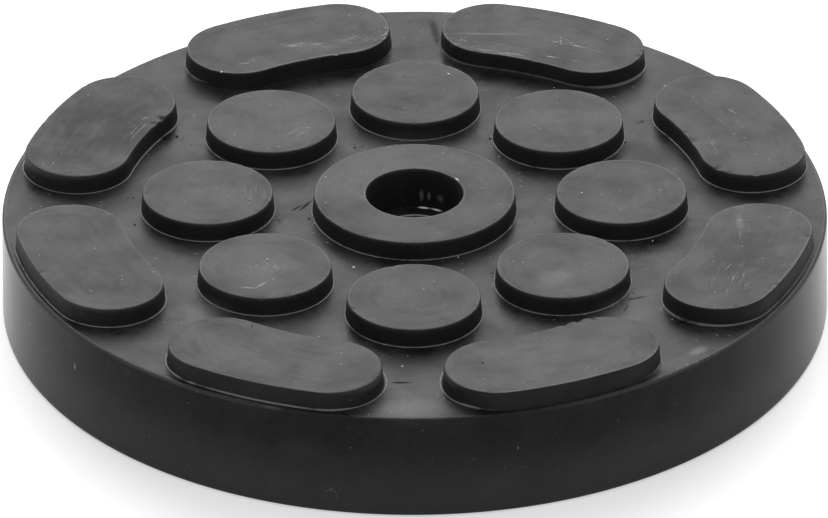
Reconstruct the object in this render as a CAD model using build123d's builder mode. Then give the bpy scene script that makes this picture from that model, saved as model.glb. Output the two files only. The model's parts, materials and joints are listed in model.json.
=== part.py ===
"""Round rubber pad for the arm of a vehicle lift, moulded in one piece.

The pad lies on its flat underside, centred on the origin, with its tread up (+Z). Its upper face is
slightly cupped, lower in the middle than at the rim. On that face stand a ring round the centre hole, a
circle of round bosses and an outer circle of curved lugs, and their tops follow the cup. The hole is
stepped, so that the head of a cap screw sinks into the rubber.
"""

import os
from collections.abc import Callable
from math import radians, sqrt, tan

from build123d import *

# ---- Driving dimensions, in millimetres and degrees -------------------------------------------------

# Base disc
disc_diameter = 120.0  # across the top of the side wall
disc_height = 15.6  # from the underside to the top of the side wall
side_draft = 1.4  # the side wall flares outwards towards the underside
rim_round = 0.5  # top edge of the side wall
foot_bevel = 0.6  # bottom edge of the side wall

# Cup in the upper face, a shallow part of a sphere
cup_depth = 0.75
cup_land = 0.2  # flat left between the cup and the rounded rim

# Tread: all that stands on the upper face, with its widths taken level with its highest point
tread_height = 2.75  # above the cup
tread_draft = 6.0  # slope of the walls of the ring, bosses and lugs
tread_root_bevel = 0.2  # thickens the walls where they meet the cup

# Ring round the centre hole
ring_diameter = 29.1

# Round bosses
boss_count = 8
boss_diameter = 18.8
boss_circle_diameter = 60.2  # through their centres

# Curved lugs, each a slot bent round the pad's axis, with full-round ends
lug_count = 8
lug_width = 15.4
lug_circle_diameter = 101.9  # through the middle of the lugs
lug_angle = 18.2  # between the centres of a lug's two ends

# Stepped centre hole
screw_hole_diameter = 9.7
head_recess_diameter = 14.2
head_recess_depth = 6.5  # below the ring's top
head_recess_bevel = 0.2  # where it opens in the ring's top

# ---- Worked out from them ---------------------------------------------------------------------------

disc_radius = disc_diameter / 2
foot_radius = disc_radius + disc_height * tan(radians(side_draft))
ground_middle = disc_height - cup_depth  # level of the cup on the axis
tread_middle = ground_middle + tread_height  # level of the tread's tops, carried on to the axis

# The cup is the bottom of a large sphere. The same sphere, standing higher, shapes the tread's tops.
cup_edge_radius = disc_radius - rim_round - cup_land
cup_sphere_radius = (cup_edge_radius**2 + cup_depth**2) / (2 * cup_depth)


def cup_rise(radius: float) -> float:
    """How much higher the cup lies at this distance from the axis than on it."""
    return cup_sphere_radius - sqrt(cup_sphere_radius**2 - radius**2)


tread_peak = tread_middle + cup_rise((lug_circle_diameter + lug_width) / 2)
tread_foot = ground_middle / 2  # where the tread's forms start, well inside the disc
recess_floor = tread_middle - head_recess_depth
between_bosses = 360 / boss_count / 2  # the lugs stand outside the gaps between the bosses
lug_spine = CenterArc((0, 0), lug_circle_diameter / 2, -lug_angle / 2, lug_angle)

# ---- The three forms of the tread -------------------------------------------------------------------


def widened(level: float) -> float:
    """What the draft adds all round to a form's outline at this level."""
    return (tread_peak - level) * tan(radians(tread_draft))


def raised(outline: Callable[[float], None], ground_radius: float) -> Part:
    """A form with drafted walls and a bevel at its root, up to the level of the tread's peak.

    outline draws the form with its edge moved outwards by a given length, and ground_radius is how far
    from the axis its ground level is taken.
    """
    bevel_top = ground_middle + cup_rise(ground_radius) + tread_root_bevel
    bevel_height = 2 * tread_root_bevel  # it starts as far below the ground as it rises above it
    with BuildPart() as form:
        with BuildSketch(Plane.XY.offset(tread_foot)):
            outline(widened(tread_foot))
        extrude(amount=tread_peak - tread_foot, taper=tread_draft)
        with BuildSketch(Plane.XY.offset(bevel_top - bevel_height)):
            outline(widened(bevel_top) + bevel_height)
        extrude(amount=bevel_height, taper=45)
    return form.part


def ring_outline(extra: float) -> None:
    """The ring, as a full disc before the hole is cut."""
    Circle(ring_diameter / 2 + extra)


def boss_outline(extra: float) -> None:
    """One round boss, about its own centre."""
    Circle(boss_diameter / 2 + extra)


def lug_outline(extra: float) -> None:
    """One curved lug, about the pad's axis and centred on +X."""
    SlotArc(lug_spine, lug_width + 2 * extra)


ring = raised(ring_outline, ring_diameter / 2)
boss = raised(boss_outline, boss_circle_diameter / 2)
lug = raised(lug_outline, lug_circle_diameter / 2)

# ---- Pad --------------------------------------------------------------------------------------------

with BuildPart() as rubber_pad:
    # Base disc
    with BuildSketch(Plane.XZ) as disc_half_section:
        with BuildLine():
            Polyline((0, 0), (foot_radius, 0), (disc_radius, disc_height), (0, disc_height), close=True)
        make_face()
        foot_corner = disc_half_section.vertices().group_by(Axis.Y)[0].sort_by(Axis.X)[-1]
        chamfer(foot_corner, length=foot_bevel)
        rim_corner = disc_half_section.vertices().group_by(Axis.Y)[-1].sort_by(Axis.X)[-1]
        fillet(rim_corner, radius=rim_round)
    revolve(axis=Axis.Z)

    # Cup in its upper face
    with Locations((0, 0, ground_middle + cup_sphere_radius)):
        Sphere(cup_sphere_radius, rotation=(90, 0, 0), mode=Mode.SUBTRACT)

    # Tread, with its tops trimmed to the cup's shape
    add(ring)
    with PolarLocations(boss_circle_diameter / 2, boss_count):
        add(boss)
    with PolarLocations(0, lug_count, start_angle=between_bosses):
        add(lug)
    with Locations((0, 0, tread_middle + cup_sphere_radius)):
        Sphere(cup_sphere_radius, rotation=(90, 0, 0), mode=Mode.SUBTRACT)

    # Stepped hole
    with BuildSketch(Plane.XY.offset(recess_floor)) as head_recess:
        Circle(head_recess_diameter / 2)
    extrude(amount=tread_peak - recess_floor, mode=Mode.SUBTRACT)
    head_recess_mouth = rubber_pad.edges(Select.LAST).group_by(Axis.Z)[-1]
    chamfer(head_recess_mouth, length=head_recess_bevel)
    Hole(screw_hole_diameter / 2)

rubber_pad.part.label = "rubber_pad"

os.makedirs("parts", exist_ok=True)
export_step(rubber_pad.part, "parts/rubber_pad.step")
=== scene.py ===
"""Looks of a moulded rubber pad for the arm of a vehicle lift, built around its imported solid.

The pad is one moulding. Its skin is modelled here again, finer than the solid: the same disc, ring, bosses,
curved lugs and stepped hole, with the true rounds at every edge and root, the nicks of use and the small
faults of the mould. Grit and crumbs of rubber lie on it.
"""

import json
import logging
import math
from collections.abc import Callable
from dataclasses import dataclass, field
from enum import Enum
from functools import cached_property, reduce

import bmesh
import bpy
import numpy as np
from mathutils import Matrix, Vector
from mathutils.geometry import delaunay_2d_cdt

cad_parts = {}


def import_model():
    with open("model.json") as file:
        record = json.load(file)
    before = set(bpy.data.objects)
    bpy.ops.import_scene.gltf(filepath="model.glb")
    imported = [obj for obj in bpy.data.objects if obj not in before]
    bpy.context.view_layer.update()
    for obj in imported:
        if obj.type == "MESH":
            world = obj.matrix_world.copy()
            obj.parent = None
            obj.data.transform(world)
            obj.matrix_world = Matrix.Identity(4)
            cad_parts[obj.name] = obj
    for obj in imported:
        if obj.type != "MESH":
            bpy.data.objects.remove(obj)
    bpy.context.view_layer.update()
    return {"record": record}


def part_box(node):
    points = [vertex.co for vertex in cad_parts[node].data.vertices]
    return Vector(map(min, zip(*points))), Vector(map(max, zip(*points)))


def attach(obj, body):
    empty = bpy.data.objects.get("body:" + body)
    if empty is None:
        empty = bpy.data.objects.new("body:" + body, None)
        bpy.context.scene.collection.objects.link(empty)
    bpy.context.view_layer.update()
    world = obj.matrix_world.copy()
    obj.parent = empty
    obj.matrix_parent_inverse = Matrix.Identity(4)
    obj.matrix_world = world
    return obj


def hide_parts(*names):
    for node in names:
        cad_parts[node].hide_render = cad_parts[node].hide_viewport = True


LOG = logging.getLogger("lift_pad")
NODE = "rubber_pad"
BODY = "root"
MM = 0.001
FULL_TURN = 2 * math.pi

# Points of an outline that lie nearer than this, in millimetres, count as one.
SAME_PLACE = 1e-7

Pair = tuple[float, float]


# ---- Sizes ------------------------------------------------------------------------------------------


@dataclass(frozen=True)
class PadSizes:
    """Sizes of the moulding, in metres and radians.

    Attributes:
        reach: From the axis to the widest place of the side wall.
        height: From the underside to the highest point of the tread.
        screw_radius: Of the small hole.
        recess_radius: Of the wide upper part of the hole.
        disc_radius: Of the disc, at the top of its side wall.
        disc_height: From the underside to the land round the cup.
        rim_round: Radius of the round between that land and the side wall.
        foot_round: Radius of the round between the side wall and the underside.
        cup_depth: How much lower the ground lies on the axis than at the cup's edge.
        cup_edge_radius: From the axis to the cup's edge.
        tread_height: From the ground to the tops of the tread.
        tread_draft: Lean of the tread's walls.
        edge_round: Radius of the round along the tread's upper edges.
        root_round: Radius of the round at the roots of its walls.
        ring_radius: Of the ring's top.
        boss_count: How many bosses stand round the ring.
        boss_radius: Of a boss's top.
        boss_circle_radius: From the axis to the bosses' middles.
        lug_count: How many lugs stand round the bosses.
        lug_half_width: Half the width of a lug's top.
        lug_circle_radius: From the axis to the middle of a lug's width.
        lug_half_angle: From a lug's middle to the centre of its end.
        recess_depth: Of the wide upper part of the hole.
        hole_round: Radius of the rounds in the hole.
    """

    reach: float
    height: float
    screw_radius: float
    recess_radius: float

    disc_radius: float = 60.0 * MM
    disc_height: float = 15.6 * MM
    rim_round: float = 0.5 * MM
    foot_round: float = 0.6 * MM
    cup_depth: float = 0.75 * MM
    cup_edge_radius: float = 59.3 * MM

    tread_height: float = 2.75 * MM
    tread_draft: float = math.radians(6.0)
    edge_round: float = 0.2 * MM
    root_round: float = 0.15 * MM

    ring_radius: float = 14.6 * MM

    boss_count: int = 8
    boss_radius: float = 9.45 * MM
    boss_circle_radius: float = 30.1 * MM

    lug_count: int = 8
    lug_half_width: float = 7.73 * MM
    lug_circle_radius: float = 50.93 * MM
    lug_half_angle: float = math.radians(9.1)

    recess_depth: float = 6.5 * MM
    hole_round: float = 0.15 * MM

    @classmethod
    def from_frame(cls, record: dict) -> "PadSizes":
        """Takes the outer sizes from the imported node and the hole's from its mounts.

        Args:
            record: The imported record, whose mounts give the hole's radii in millimetres.

        Returns:
            The sizes of the moulding.
        """
        low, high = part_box(NODE)
        radius = {mount["name"]: mount["dims"].get("r_mm", 0.0) * MM for mount in record["mounts"]}
        return cls(
            reach=(high.x - low.x) / 2,
            height=high.z,
            screw_radius=radius["screw_hole"],
            recess_radius=radius["head_recess"],
        )

    @property
    def cup_sphere_radius(self) -> float:
        """Radius of the sphere that the cup is the bottom of."""
        return (self.cup_edge_radius**2 + self.cup_depth**2) / (2 * self.cup_depth)

    @property
    def tread_middle(self) -> float:
        """Level of the tread's tops, carried on to the axis."""
        return self.disc_height - self.cup_depth + self.tread_height

    @property
    def foot_radius(self) -> float:
        """Radius of the side wall where it would meet the floor without its round."""
        slope = (self.reach - self.disc_radius) / (self.disc_height - self.foot_round)
        return self.disc_radius + slope * self.disc_height

    def cup_rise(self, radius: np.ndarray | float) -> np.ndarray | float:
        """How much higher the cup lies at this distance from the axis than on it."""
        inside = np.minimum(radius, self.cup_edge_radius)
        return self.cup_sphere_radius - np.sqrt(self.cup_sphere_radius**2 - inside**2)

    def top_level(self, points: np.ndarray) -> np.ndarray:
        """Level of the tread's tops over each (x, y) point."""
        return self.tread_middle + self.cup_rise(away_from(points))


def polar(distance: float, direction: float) -> Pair:
    """A place seen from above, in metres.

    Args:
        distance: From the axis, in millimetres.
        direction: From +X towards +Y, in degrees.

    Returns:
        Its x and y.
    """
    turn = math.radians(direction)
    return distance * MM * math.cos(turn), distance * MM * math.sin(turn)


def away_from(points: np.ndarray, place: Pair = (0.0, 0.0)) -> np.ndarray:
    """How far each (x, y) point lies from a place, or from the axis."""
    return np.hypot(points[:, 0] - place[0], points[:, 1] - place[1])


# ---- Outlines seen from above -----------------------------------------------------------------------


@dataclass(frozen=True)
class RoundOutline:
    """A circle, such as a boss or the ring.

    Attributes:
        centre: Its centre, as x and y.
        radius: Its radius.
        steps: Points round it.
    """

    centre: Pair
    radius: float
    steps: int

    def loop(self, offset: float) -> np.ndarray:
        """Points round the outline.

        Args:
            offset: How far the outline is moved outwards.

        Returns:
            One row of x and y each.
        """
        turn = np.arange(self.steps) * FULL_TURN / self.steps
        radius = self.radius + offset
        x, y = self.centre
        return np.column_stack((x + radius * np.cos(turn), y + radius * np.sin(turn)))

    def distance(self, points: np.ndarray) -> np.ndarray:
        """How far each point lies outside the outline, negative inside."""
        return away_from(points, self.centre) - self.radius


@dataclass(frozen=True)
class CurvedSlotOutline:
    """A slot bent round the pad's axis, with full-round ends.

    Attributes:
        middle_angle: Direction of its middle from the axis.
        circle_radius: Of the arc that it is bent round.
        half_width: Half its width, and the radius of its ends.
        half_angle: From its middle to the centre of each end, seen from the axis.
        spacing: Wanted distance between points.
    """

    middle_angle: float
    circle_radius: float
    half_width: float
    half_angle: float
    spacing: float

    def loop(self, offset: float) -> np.ndarray:
        """Points round the outline.

        Args:
            offset: How far the outline is moved outwards.

        Returns:
            One row of x and y each.
        """
        half = self.half_width + offset
        arc_steps = round(2 * self.half_angle * self.circle_radius / self.spacing)
        end_steps = round(math.pi * self.half_width / self.spacing)
        first, last = self.middle_angle - self.half_angle, self.middle_angle + self.half_angle

        def arc(radius: float, start: float, stop: float) -> np.ndarray:
            """An arc about the pad's axis, without its last point."""
            turn = np.linspace(start, stop, arc_steps, endpoint=False)
            return np.column_stack((radius * np.cos(turn), radius * np.sin(turn)))

        def end(angle: float, start: float) -> np.ndarray:
            """A half circle about the centre of one end, without its last point.

            Args:
                angle: Direction of that centre from the axis.
                start: Direction of the first point from that centre.

            Returns:
                One row of x and y for each point.
            """
            turn = np.linspace(start, start + math.pi, end_steps, endpoint=False)
            x = self.circle_radius * math.cos(angle) + half * np.cos(turn)
            y = self.circle_radius * math.sin(angle) + half * np.sin(turn)
            return np.column_stack((x, y))

        return np.vstack(
            (
                arc(self.circle_radius + half, first, last),
                end(last, last),
                arc(self.circle_radius - half, last, first),
                end(first, first + math.pi),
            )
        )

    def distance(self, points: np.ndarray) -> np.ndarray:
        """How far each point lies outside the outline.

        Args:
            points: One row of x, y and any more each.

        Returns:
            The distances, negative inside.
        """
        turn = np.arctan2(points[:, 1], points[:, 0]) - self.middle_angle
        turn = (turn + math.pi) % FULL_TURN - math.pi
        near = np.clip(turn, -self.half_angle, self.half_angle) + self.middle_angle
        x = points[:, 0] - self.circle_radius * np.cos(near)
        y = points[:, 1] - self.circle_radius * np.sin(near)
        return np.hypot(x, y) - self.half_width


Outline = RoundOutline | CurvedSlotOutline


# ---- Mesh tools -------------------------------------------------------------------------------------


def round_corner(before: tuple, corner: tuple, after: tuple, radius: float, steps: int) -> list[tuple]:
    """Rounds one corner of a flat profile.

    Args:
        before: The profile's point ahead of the corner.
        corner: The sharp corner.
        after: The profile's point past the corner.
        radius: Of the round.
        steps: Straight pieces in the round.

    Returns:
        The points of the round, from the side of before to the side of after.
    """
    middle = Vector(corner)
    back = (Vector(before) - middle).normalized()
    ahead = (Vector(after) - middle).normalized()
    half = back.angle(ahead) / 2
    centre = middle + (back + ahead).normalized() * (radius / math.sin(half))
    start = middle + back * (radius / math.tan(half)) - centre
    stop = middle + ahead * (radius / math.tan(half)) - centre
    sweep = start.angle_signed(stop)
    points = []
    for step in range(steps + 1):
        turned = start.copy()
        turned.rotate(Matrix.Rotation(-sweep * step / steps, 2))
        points.append(tuple(centre + turned))
    return points


def between(first: tuple, last: tuple, shares: tuple[float, ...]) -> list[tuple]:
    """The points at these shares of the way from first to last."""
    return [tuple(Vector(first).lerp(Vector(last), share)) for share in shares]


def into_scene(name: str, data: bpy.types.ID) -> bpy.types.Object:
    """Adds an object to the scene.

    Args:
        name: Of the object.
        data: That it shows, such as a mesh, a lamp or a camera.

    Returns:
        The object.
    """
    made = bpy.data.objects.new(name, data)
    bpy.context.scene.collection.objects.link(made)
    return made


def new_piece(name: str, points: np.ndarray, faces: list) -> bpy.types.Object:
    """Makes a smooth-shaded mesh object in the scene.

    Args:
        name: Of the object.
        points: One row of x, y and z for each vertex.
        faces: The vertex numbers of each face.

    Returns:
        The new object.
    """
    mesh = bpy.data.meshes.new(name)
    mesh.from_pydata(points.tolist(), [], faces)
    mesh.validate()
    mesh.shade_smooth()
    return into_scene(name, mesh)


@dataclass
class SkinBuilder:
    """Collects the vertices and faces of one closed skin."""

    points: list[np.ndarray] = field(default_factory=list)
    faces: list[tuple[int, ...]] = field(default_factory=list)
    size: int = 0

    def add(self, points: np.ndarray) -> np.ndarray:
        """Adds vertices.

        Args:
            points: One row of x, y and z for each.

        Returns:
            Their numbers.
        """
        self.points.append(points)
        self.size += len(points)
        return np.arange(self.size - len(points), self.size)

    def strip(self, inner: np.ndarray, outer: np.ndarray) -> None:
        """Joins two closed loops of equal length with quads.

        Args:
            inner: Vertex numbers of the one loop.
            outer: Those of the other. The quads face up where it lies round the first.
        """
        for here in range(len(inner)):
            ahead = (here + 1) % len(inner)
            self.faces.append((int(inner[here]), int(outer[here]), int(outer[ahead]), int(inner[ahead])))

    def fill(
        self,
        loops: list[np.ndarray],
        inside: np.ndarray,
        level: Callable[[np.ndarray], np.ndarray],
        keep: Callable[[np.ndarray], np.ndarray],
        upwards: bool = True,
    ) -> None:
        """Fills the region between loops with triangles.

        Args:
            loops: Vertex numbers of the loops that bound the region.
            inside: Flat points to lie within the region, one row of x and y each.
            level: Gives the height of such points.
            keep: Says which of some flat points lie in the region.
            upwards: Whether the triangles face up.
        """
        everything = np.vstack(self.points)
        fixed = np.concatenate(loops)
        numbers = np.concatenate((fixed, self.add(np.column_stack((inside, level(inside))))))
        flat = np.vstack((everything[fixed][:, :2], inside)) / MM
        edges, first = [], 0
        for loop in loops:
            edges += [(first + k, first + (k + 1) % len(loop)) for k in range(len(loop))]
            first += len(loop)
        made = delaunay_2d_cdt([Vector(p) for p in flat], edges, [], 0, SAME_PLACE, True)
        spots, _, triangles, origins, _, _ = made
        where = np.array([numbers[origin[0]] for origin in origins])
        corners = np.array(triangles)
        spots = np.array([tuple(p) for p in spots])
        chosen = corners[keep(spots[corners].mean(axis=1) * MM)]
        for triangle in where[chosen if upwards else chosen[:, ::-1]]:
            self.faces.append(tuple(int(k) for k in triangle))


def scattered(reach: float, spacing: float) -> np.ndarray:
    """Lays a triangular grid over a disc.

    Args:
        reach: Radius of the disc.
        spacing: Distance between the points.

    Returns:
        One row of x and y for each point.
    """
    rows = int(reach / (spacing * math.sin(math.pi / 3))) + 1
    columns = int(reach / spacing) + 1
    row, column = np.mgrid[-rows : rows + 1, -columns : columns + 1]
    x = (column + 0.5 * (row % 2)) * spacing
    y = row * spacing * math.sin(math.pi / 3)
    grid = np.column_stack((x.ravel(), y.ravel()))
    return grid[away_from(grid) < reach]


# ---- Wear in the shape ------------------------------------------------------------------------------


@dataclass(frozen=True)
class Nick:
    """A bite out of an edge of the tread, or a dent in one of its tops.

    Attributes:
        place: Its middle seen from above.
        reach: How far it spreads from there.
        depth: How far the rubber goes down at its middle, less than nothing for a raised burr.
    """

    place: Pair
    reach: float
    depth: float

    def sink(self, points: np.ndarray) -> np.ndarray:
        """How far each point goes down, full at the middle and nothing at the reach."""
        away = away_from(points, self.place) / self.reach
        return self.depth * np.clip(1 - away**2, 0, 1) ** 2


@dataclass(frozen=True)
class Wear:
    """The nicks of the tread: the plain ones, and many tiny ones along all its edges.

    Attributes:
        seed: Of the tiny ones.
        tiny_count: How many tiny ones each form of the tread has.
        tiny_depth: The least and greatest depth of a tiny one, in millimetres.
        tiny_reach: Its least and greatest reach, in millimetres.
        turns: What its depth is multiplied by, one as often as the next, less than nothing for a burr.
    """

    seed: int = 7
    tiny_count: int = 9
    tiny_depth: Pair = (0.03, 0.11)
    tiny_reach: Pair = (0.35, 0.8)
    turns: tuple[float, ...] = (1.0, 1.0, -0.5)

    def plain(self) -> list[Nick]:
        """The nicks that are seen at once.

        Returns:
            One for each row of distance, direction, reach and depth, in millimetres and degrees.
        """
        rows = (
            (43.1, 150.0, 0.9, 0.35), (43.6, 152.5, 0.6, 0.20), (43.0, 19.5, 1.6, 0.18),
            (44.6, 8.0, 0.9, 0.18), (46.2, 6.0, 0.6, 0.14), (50.1, 5.0, 0.5, 0.20),
            (52.5, 6.0, 0.4, 0.16), (43.9, 302.0, 0.7, 0.30), (44.6, 304.5, 0.6, 0.25),
            (43.8, 299.0, 0.5, 0.22), (43.9, 296.5, 0.4, 0.18), (43.9, 300.5, 0.4, -0.12),
            (45.8, 282.0, 0.7, 0.30), (58.4, 346.0, 0.5, 0.14), (43.4, 78.0, 0.9, -0.10),
            (43.3, 106.0, 0.5, 0.18),
        )
        return [Nick(polar(*place), reach * MM, depth * MM) for *place, reach, depth in rows]

    def tiny(self, outlines: list[Outline]) -> list[Nick]:
        """Seeded nicks along the outlines.

        Args:
            outlines: Of the forms of the tread.

        Returns:
            The nicks.
        """
        chance = np.random.default_rng(self.seed)
        made = []
        for outline in outlines:
            edge = outline.loop(0.0)
            for spot in edge[chance.integers(0, len(edge), self.tiny_count)]:
                depth = chance.uniform(*self.tiny_depth) * chance.choice(self.turns)
                made.append(Nick(tuple(spot), chance.uniform(*self.tiny_reach) * MM, depth * MM))
        return made


# ---- The moulding -----------------------------------------------------------------------------------


@dataclass(frozen=True)
class LugTrim:
    """How one lug differs from its seven fellows.

    Attributes:
        number: Which lug, counted from +X towards +Y.
        inner: How much further out its inner side lies.
        outer: How much further out its outer side lies.
    """

    number: int
    inner: float
    outer: float


@dataclass
class Moulding:
    """The whole pad as one closed skin.

    Attributes:
        sizes: Sizes of the pad.
        wear: Nicks of the tread.
        trims: The lugs that came out of the mould a little wider or narrower.
        spacing: Distance between points along the outlines of the tread.
        grid: Distance between points on the broad faces.
        underside_grid: Distance between points on the underside.
        rim_steps: Points round the side wall.
        hole_steps: Points round the hole.
        flat: Width of the strip of plain face that each round leads to.
        root_share: Share of that width at the roots of the tread.
        fine_pieces: Straight pieces in a small round.
        foot_pieces: Straight pieces in the round of the foot.
        rim_pieces: Straight pieces in the round of the rim.
        wall_shares: Where loops lie up and down a wall of the tread, as shares of its height.
        side_shares: Where they lie up and down the side wall.
        hole_levels: How many lie up and down each wall of the hole, with its ends.
    """

    sizes: PadSizes
    wear: Wear = Wear()
    trims: tuple[LugTrim, ...] = (
        LugTrim(1, -0.15 * MM, -0.08 * MM),
        LugTrim(2, -0.25 * MM, -0.05 * MM),
        LugTrim(3, 0.0, -0.1 * MM),
        LugTrim(5, 0.5 * MM, 0.06 * MM),
        LugTrim(6, 0.5 * MM, 0.15 * MM),
        LugTrim(7, 0.0, 0.1 * MM),
    )
    spacing: float = 0.25 * MM
    grid: float = 0.9 * MM
    underside_grid: float = 3.6 * MM
    rim_steps: int = 480
    hole_steps: int = 144
    flat: float = 0.2 * MM
    root_share: float = 0.25
    fine_pieces: int = 3
    foot_pieces: int = 4
    rim_pieces: int = 5
    wall_shares: tuple[float, ...] = (0.15, 0.85)
    side_shares: tuple[float, ...] = (0.03, 0.25, 0.5, 0.75, 0.97)
    hole_levels: int = 5

    def outlines(self) -> list[Outline]:
        """Lays out the ring, the bosses and the lugs.

        Returns:
            Their outlines, at the sharp top edge that their rounds replace.
        """
        sizes = self.sizes
        ring_steps = round(FULL_TURN * sizes.ring_radius / self.spacing)
        forms: list[Outline] = [RoundOutline((0.0, 0.0), sizes.ring_radius, ring_steps)]
        boss_steps = round(FULL_TURN * sizes.boss_radius / self.spacing)
        for number in range(sizes.boss_count):
            angle = number * FULL_TURN / sizes.boss_count
            centre = (sizes.boss_circle_radius * math.cos(angle), sizes.boss_circle_radius * math.sin(angle))
            forms.append(RoundOutline(centre, sizes.boss_radius, boss_steps))
        trims = {trim.number: trim for trim in self.trims}
        for number in range(sizes.lug_count):
            trim = trims.get(number, LugTrim(number, 0.0, 0.0))
            forms.append(
                CurvedSlotOutline(
                    middle_angle=(number + 0.5) * FULL_TURN / sizes.lug_count,
                    circle_radius=sizes.lug_circle_radius + (trim.outer + trim.inner) / 2,
                    half_width=sizes.lug_half_width + (trim.outer - trim.inner) / 2,
                    half_angle=sizes.lug_half_angle,
                    spacing=self.spacing,
                )
            )
        return forms

    def wall_profile(self) -> list[Pair]:
        """Section of the tread's wall.

        Returns:
            Steps outwards and down, from its top to the ground.
        """
        sizes = self.sizes
        root = (sizes.tread_height * math.tan(sizes.tread_draft), -sizes.tread_height)
        inner, outer = (-2 * sizes.root_round, 0.0), (root[0] + 2 * sizes.root_round, root[1])
        edge = round_corner(inner, (0.0, 0.0), root, sizes.edge_round, self.fine_pieces)
        cove = round_corner((0.0, 0.0), root, outer, sizes.root_round, self.fine_pieces)
        wall = between(edge[-1], cove[0], self.wall_shares)
        ground = (cove[-1][0] + self.root_share * self.flat, root[1])
        return [(edge[0][0] - self.flat, 0.0), *edge, *wall, *cove, ground]

    def raise_form(self, skin: SkinBuilder, outline: Outline) -> tuple[np.ndarray, np.ndarray]:
        """Adds the wall of one form of the tread.

        Args:
            skin: Takes the wall.
            outline: Of the form.

        Returns:
            The vertex numbers of its first loop, on its top, and of its last, on the ground.
        """
        loops = []
        for offset, rise in self.wall_profile():
            flat = outline.loop(offset)
            loops.append(skin.add(np.column_stack((flat, self.sizes.top_level(flat) + rise))))
        for upper, lower in zip(loops, loops[1:]):
            skin.strip(upper, lower)
        return loops[0], loops[-1]

    def turn(self, skin: SkinBuilder, profile: list[Pair], steps: int) -> list[np.ndarray]:
        """Adds a surface turned about the pad's axis.

        Args:
            skin: Takes the surface.
            profile: Its section, as radius and height, facing away from the rubber on its left.
            steps: Points round it.

        Returns:
            The vertex numbers of each loop.
        """
        loops = []
        for radius, height in profile:
            flat = RoundOutline((0.0, 0.0), radius, steps).loop(0.0)
            loops.append(skin.add(np.column_stack((flat, np.full(steps, height)))))
        for first, second in zip(loops, loops[1:]):
            skin.strip(first, second)
        return loops

    def side_profile(self) -> list[Pair]:
        """Section of the side wall.

        Returns:
            Radius and height of each point, from the cup's edge over the rim and down to the underside.
        """
        sizes = self.sizes
        ground = sizes.disc_height
        rim, foot = (sizes.disc_radius, ground), (sizes.foot_radius, 0.0)
        over = round_corner((0.0, ground), rim, foot, sizes.rim_round, self.rim_pieces)
        under = round_corner(rim, foot, (0.0, 0.0), sizes.foot_round, self.foot_pieces)
        wall = between(over[-1], under[0], self.side_shares)
        return [(sizes.cup_edge_radius, ground), *over, *wall, *under, (under[-1][0] - self.flat, 0.0)]

    def hole_profile(self) -> list[Pair]:
        """Section of the stepped hole.

        Returns:
            Radius and height of each point, from the underside up to the ring's top.
        """
        sizes = self.sizes
        top = float(sizes.tread_middle + sizes.cup_rise(sizes.recess_radius))
        ledge = sizes.tread_middle - sizes.recess_depth
        small, wide, far = sizes.screw_radius, sizes.recess_radius, 4 * sizes.hole_round

        def rounded(*way: Pair) -> list[tuple]:
            """One corner of the section, from the points before it, at it and after it."""
            return round_corner(*way, sizes.hole_round, self.fine_pieces)

        def wall(radius: float, lower: list[tuple], upper: list[tuple]) -> list[tuple]:
            """Points up a wall between two corners."""
            levels = np.linspace(lower[-1][1], upper[0][1], self.hole_levels)
            return [(radius, level) for level in levels[1:-1]]

        foot = rounded((small + far, 0.0), (small, 0.0), (small, far))
        lip = rounded((small, ledge - far), (small, ledge), (small + far, ledge))
        corner = rounded((wide - far, ledge), (wide, ledge), (wide, ledge + far))
        mouth = rounded((wide, top - far), (wide, top), (wide + far, top))
        return [
            (foot[0][0] + self.flat, 0.0),
            *foot,
            *wall(small, foot, lip),
            *lip,
            *corner,
            *wall(wide, corner, mouth),
            *mouth,
            (mouth[-1][0] + self.flat, top),
        ]

    def depth(self, points: np.ndarray) -> np.ndarray:
        """How far each flat point lies outside the nearest form of the tread, negative on its top."""
        return np.min([outline.distance(points) for outline in self.outlines()], axis=0)

    def surface_level(self, points: np.ndarray) -> np.ndarray:
        """Level of the tread's tops and of the ground between them, at each flat point."""
        return self.sizes.top_level(points) - np.where(self.depth(points) > 0, self.sizes.tread_height, 0.0)

    def worn(self, points: np.ndarray) -> np.ndarray:
        """Presses the nicks into the tread.

        Args:
            points: All vertices of the skin, one row of x, y and z each.

        Returns:
            The vertices, moved.
        """
        sizes = self.sizes
        top = sizes.top_level(points)
        share = np.clip((points[:, 2] - top + sizes.tread_height) / sizes.tread_height, 0, 1)
        share[away_from(points) < sizes.recess_radius + sizes.hole_round] = 0.0
        sink = np.zeros(len(points))
        for nick in (*self.wear.plain(), *self.wear.tiny(self.outlines())):
            sink += nick.sink(points)
        moved = points.copy()
        moved[:, 2] -= sink * share
        moved[:, 2] = np.minimum(moved[:, 2], sizes.height)
        return moved

    def build(self, name: str) -> bpy.types.Object:
        """Builds the skin.

        Args:
            name: Of the object.

        Returns:
            The moulding, without its finish.
        """
        sizes = self.sizes
        skin = SkinBuilder()
        side = self.turn(skin, self.side_profile(), self.rim_steps)
        hole = self.turn(skin, self.hole_profile(), self.hole_steps)
        forms = [self.raise_form(skin, outline) for outline in self.outlines()]
        wall, mouth_radius = self.wall_profile(), self.hole_profile()[-1][0]
        top_offset, root_offset = wall[0][0], wall[-1][0]

        def within_tops(points: np.ndarray, clear: float = 0.0) -> np.ndarray:
            """Which points lie on the tops of the tread, clear of their edges."""
            return (self.depth(points) < top_offset - clear) & (away_from(points) > mouth_radius + clear)

        def within_ground(points: np.ndarray, clear: float = 0.0) -> np.ndarray:
            """Which points lie on the ground of the cup, clear of the roots."""
            return self.depth(points) > root_offset + clear

        def within_underside(points: np.ndarray) -> np.ndarray:
            """Which points lie on the underside."""
            return away_from(points) > self.hole_profile()[0][0]

        def floor_level(points: np.ndarray) -> np.ndarray:
            """Level of the underside at each point."""
            return np.zeros(len(points))

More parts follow.
